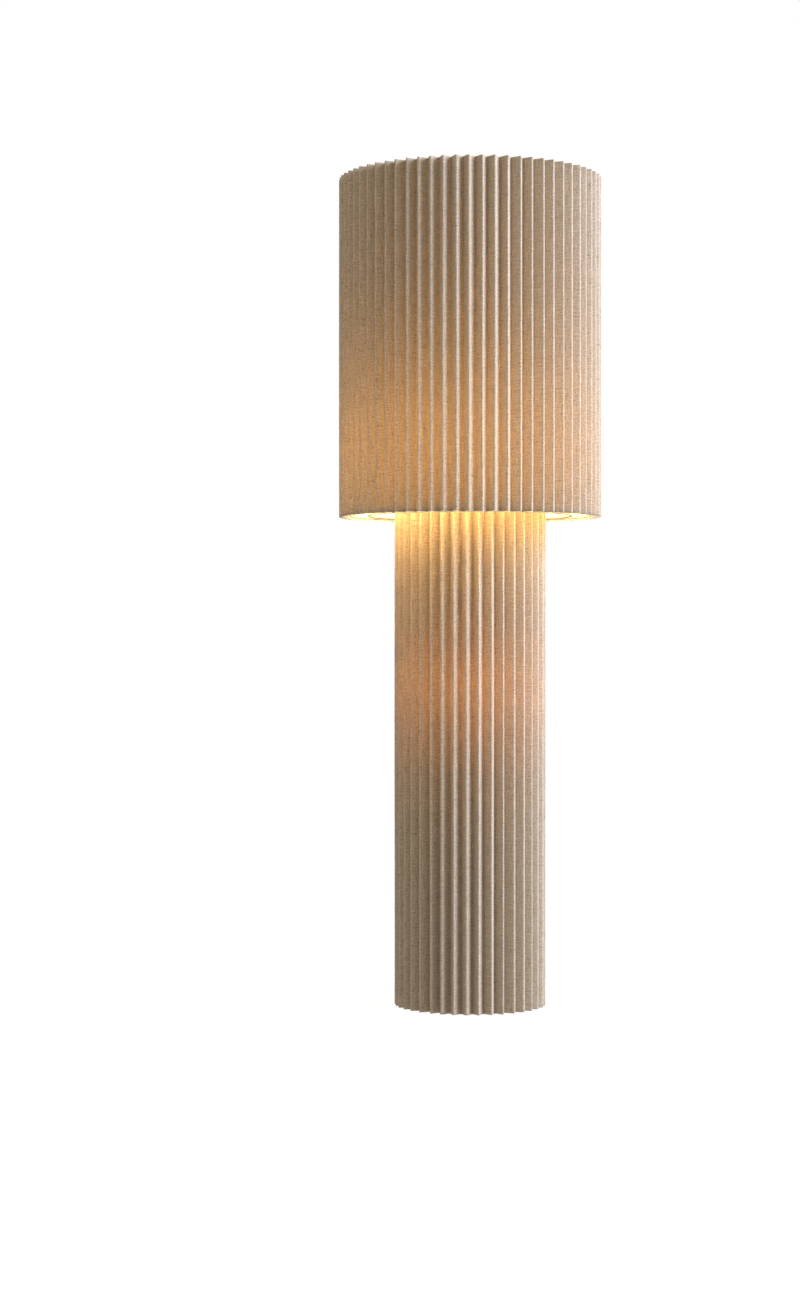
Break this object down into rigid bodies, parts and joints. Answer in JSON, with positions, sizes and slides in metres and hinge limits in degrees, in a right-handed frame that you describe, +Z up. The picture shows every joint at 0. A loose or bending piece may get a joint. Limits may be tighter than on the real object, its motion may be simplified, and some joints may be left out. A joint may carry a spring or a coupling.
{
  "type": "floor lamp",
  "caption": "Floor lamp: a wide pleated linen drum shade over a narrower pleated linen column, both lit from inside by screw-in opal bulbs, on a hidden weighted base with steel posts.",
  "frame": {"origin": "centre of the felt pad, on the floor", "axes": "+Z up, -Y the front, +X to the right of someone facing the front"},
  "size_m": [0.3996, 0.4, 1.254],
  "materials": {
    "linen": "natural undyed linen, stiffened and knife-pleated",
    "felt": "dark pressed felt",
    "black_painted_steel": "matte black",
    "brushed_steel": "brushed",
    "white_painted_steel": "satin white",
    "white_plastic": "matte white",
    "ceramic": "white glaze",
    "brass": "plain",
    "bulb_cap_metal": "plain",
    "bulb_tip_plastic": "matte black",
    "opal_glass": "opal, lit warm white",
    "black_rubber": "matte",
    "lead_sheath": "matte off-white"
  },
  "bodies": {
    "frame": {"base_pad": "felt", "base_plate": "black_painted_steel", "post_right": "brushed_steel", "post_rear_right": "brushed_steel", "post_rear_left": "brushed_steel", "post_left": "brushed_steel", "post_bolts": "brushed_steel", "post_caps": "brushed_steel", "shelf_collars": "brushed_steel", "lamp_shelf": "white_painted_steel", "top_plate": "white_painted_steel", "lower_holder_cap": "white_plastic", "lower_holder_skirt": "white_plastic", "upper_holder_cap": "white_plastic", "upper_holder_skirt": "white_plastic", "clamp_ring_top": "white_plastic", "clamp_ring_bottom": "white_plastic", "upper_cord_grip": "white_plastic", "terminal_block": "white_plastic", "lead_clips": "white_plastic", "lower_holder_insert": "ceramic", "upper_holder_insert": "ceramic", "lower_nipple": "brass", "nipple_nut": "brass", "lower_holder_shell": "brass", "lower_holder_contact": "brass", "upper_holder_shell": "brass", "upper_holder_contact": "brass", "cord_gland": "black_rubber", "shelf_grommet": "black_rubber", "lower_lead": "lead_sheath", "upper_lead": "lead_sheath"},
    "lower_bulb": {"lower_bulb_tip": "bulb_tip_plastic", "lower_bulb_cap": "bulb_cap_metal", "lower_bulb_glass": "opal_glass"},
    "upper_bulb": {"upper_bulb_tip": "bulb_tip_plastic", "upper_bulb_cap": "bulb_cap_metal", "upper_bulb_glass": "opal_glass"},
    "sleeve": {"sleeve_panel_front": "linen", "sleeve_panel_rear": "linen", "sleeve_bottom_hoop": "white_painted_steel", "sleeve_top_hoop": "white_painted_steel"},
    "shade": {"shade_panel_front": "linen", "shade_panel_rear": "linen", "shade_top_hoop": "white_painted_steel", "shade_bottom_hoop": "white_painted_steel", "shade_inner_ring": "white_painted_steel", "shade_spokes": "white_painted_steel", "shade_carrier": "white_painted_steel", "shade_arms": "white_painted_steel"}
  },
  "joints": [
    {"name": "sleeve_lift", "type": "slide", "parent": "frame", "child": "sleeve", "axis": [0, 0, 1], "range_m": [0, 0.88]},
    {"name": "shade_lift", "type": "slide", "parent": "sleeve", "child": "shade", "axis": [0, 0, 1], "range_m": [0, 0.15]},
    {"name": "upper_bulb_turn", "type": "hinge", "parent": "frame", "child": "upper_bulb", "pos_m": [0, 0, 0.8], "axis": [0, 0, 1], "continuous": true},
    {"name": "lower_bulb_turn", "type": "hinge", "parent": "frame", "child": "lower_bulb", "pos_m": [0, 0, 0.45], "axis": [0, 0, 1], "continuous": true}
  ]
}
